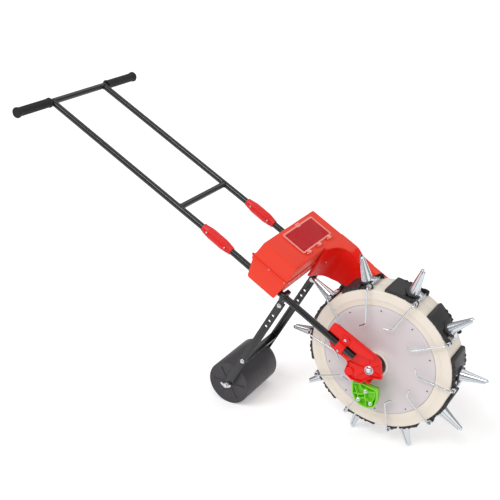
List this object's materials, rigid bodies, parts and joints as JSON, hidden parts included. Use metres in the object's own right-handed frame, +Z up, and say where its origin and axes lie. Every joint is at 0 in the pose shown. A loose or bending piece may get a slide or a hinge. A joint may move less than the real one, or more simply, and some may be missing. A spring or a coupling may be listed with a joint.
{
  "type": "push seeder",
  "caption": "Hand-pushed seeder: a spiked planting drum between two tubes, a hopper with a window lid, a feed chute, a press roller and a long T handle.",
  "frame": {"origin": "on the ground under the middle of the machine", "axes": "+X the direction of travel, +Y the machine's left, +Z up"},
  "size_m": [1.3922, 0.538, 0.8975],
  "materials": {
    "black_paint": "gloss black powder coat",
    "grip_rubber": "matte moulded rubber",
    "hopper_red": "glossy moulded plastic",
    "coupling_red": "satin moulded plastic",
    "bracket_red": "glossy moulded plastic",
    "drum_cream": "satin moulded plastic",
    "cover_grey": "satin moulded plastic",
    "black_plastic": "satin moulded plastic",
    "zinc_steel": "bright zinc plate",
    "cam_green": "moulded plastic",
    "window_clear": "clear moulded plastic",
    "roller_charcoal": "satin moulded plastic"
  },
  "bodies": {
    "frame": {"handlebar": "black_paint", "right_grip": "grip_rubber", "left_grip": "grip_rubber", "right_handle_tube": "black_paint", "left_handle_tube": "black_paint", "handle_brace": "black_paint", "right_coupling_upper": "coupling_red", "right_coupling_lower": "coupling_red", "left_coupling_upper": "coupling_red", "left_coupling_lower": "coupling_red", "right_frame_tube": "black_paint", "left_frame_tube": "black_paint", "right_axle_bracket": "bracket_red", "left_axle_bracket": "bracket_red", "right_tube_clamp": "bracket_red", "left_tube_clamp": "bracket_red", "opening_cam": "cam_green", "drum_axle": "zinc_steel", "hopper_body": "hopper_red", "hopper_cover": "hopper_red", "lid_hinge_pin": "zinc_steel", "feed_chute": "hopper_red", "seed_inlet_housing": "black_plastic", "right_arm_bracket": "black_paint", "left_arm_bracket": "black_paint", "right_roller_arm": "black_paint", "left_roller_arm": "black_paint", "arm_cross_bar": "black_paint", "roller_axle": "zinc_steel"},
    "drum": {"drum_right_half": "drum_cream", "drum_left_half": "drum_cream", "right_side_cover": "cover_grey", "left_side_cover": "cover_grey", "right_hub_bush": "black_plastic", "left_hub_bush": "black_plastic", "seed_wheel": "black_plastic", "seed_distributor": "drum_cream", "fixed_beak_01": "black_plastic", "fixed_beak_02": "black_plastic", "fixed_beak_03": "black_plastic", "fixed_beak_04": "black_plastic", "fixed_beak_05": "black_plastic", "fixed_beak_06": "black_plastic", "fixed_beak_07": "black_plastic", "fixed_beak_08": "black_plastic", "fixed_beak_09": "black_plastic", "fixed_beak_10": "black_plastic"},
    "beak_01": {"moving_beak_01": "zinc_steel"},
    "beak_02": {"moving_beak_02": "zinc_steel"},
    "beak_03": {"moving_beak_03": "zinc_steel"},
    "beak_04": {"moving_beak_04": "zinc_steel"},
    "beak_05": {"moving_beak_05": "zinc_steel"},
    "beak_06": {"moving_beak_06": "zinc_steel"},
    "beak_07": {"moving_beak_07": "zinc_steel"},
    "beak_08": {"moving_beak_08": "zinc_steel"},
    "beak_09": {"moving_beak_09": "zinc_steel"},
    "beak_10": {"moving_beak_10": "zinc_steel"},
    "roller": {"press_roller": "roller_charcoal", "roller_end_cap": "roller_charcoal"},
    "lid": {"window_lid": "window_clear"}
  },
  "joints": [
    {"name": "drum_spin", "type": "hinge", "parent": "frame", "child": "drum", "pos_m": [0.3991, 0, 0.28308], "axis": [0, 1, 0], "continuous": true},
    {"name": "beak_01_open", "type": "hinge", "parent": "drum", "child": "beak_01", "pos_m": [0.6171, 0, 0.25708], "axis": [0, 1, 0], "range_deg": [0, 22], "stiffness_Nm_per_rad": 0.6, "springref_deg": -17.19},
    {"name": "beak_02_open", "type": "hinge", "parent": "drum", "child": "beak_02", "pos_m": [0.59075, 0, 0.39019], "axis": [0, 1, 0], "range_deg": [0, 22], "stiffness_Nm_per_rad": 0.6, "springref_deg": -17.19},
    {"name": "beak_03_open", "type": "hinge", "parent": "drum", "child": "beak_03", "pos_m": [0.49119, 0, 0.48238], "axis": [0, 1, 0], "range_deg": [0, 22], "stiffness_Nm_per_rad": 0.6, "springref_deg": -17.19},
    {"name": "beak_04_open", "type": "hinge", "parent": "drum", "child": "beak_04", "pos_m": [0.35646, 0, 0.49845], "axis": [0, 1, 0], "range_deg": [0, 22], "stiffness_Nm_per_rad": 0.6, "springref_deg": -17.19},
    {"name": "beak_05_open", "type": "hinge", "parent": "drum", "child": "beak_05", "pos_m": [0.23802, 0, 0.43225], "axis": [0, 1, 0], "range_deg": [0, 22], "stiffness_Nm_per_rad": 0.6, "springref_deg": -17.19},
    {"name": "beak_06_open", "type": "hinge", "parent": "drum", "child": "beak_06", "pos_m": [0.1811, 0, 0.30908], "axis": [0, 1, 0], "range_deg": [0, 22], "stiffness_Nm_per_rad": 0.6, "springref_deg": -17.19},
    {"name": "beak_07_open", "type": "hinge", "parent": "drum", "child": "beak_07", "pos_m": [0.20745, 0, 0.17598], "axis": [0, 1, 0], "range_deg": [0, 22], "stiffness_Nm_per_rad": 0.6, "springref_deg": -17.19},
    {"name": "beak_08_open", "type": "hinge", "parent": "drum", "child": "beak_08", "pos_m": [0.30701, 0, 0.08379], "axis": [0, 1, 0], "range_deg": [0, 22], "stiffness_Nm_per_rad": 0.6, "springref_deg": -17.19},
    {"name": "beak_09_open", "type": "hinge", "parent": "drum", "child": "beak_09", "pos_m": [0.44174, 0, 0.06772], "axis": [0, 1, 0], "range_deg": [0, 22], "stiffness_Nm_per_rad": 0.6, "springref_deg": -17.19},
    {"name": "beak_10_open", "type": "hinge", "parent": "drum", "child": "beak_10", "pos_m": [0.56019, 0, 0.13391], "axis": [0, 1, 0], "range_deg": [0, 22], "stiffness_Nm_per_rad": 0.6, "springref_deg": -17.19},
    {"name": "roller_spin", "type": "hinge", "parent": "frame", "child": "roller", "pos_m": [-0.07449, 0, 0.07], "axis": [0, 1, 0], "continuous": true},
    {"name": "lid_hinge", "type": "hinge", "parent": "frame", "child": "lid", "pos_m": [0.17156, 0, 0.55557], "axis": [0, 1, 0], "range_deg": [0, 110]}
  ]
}
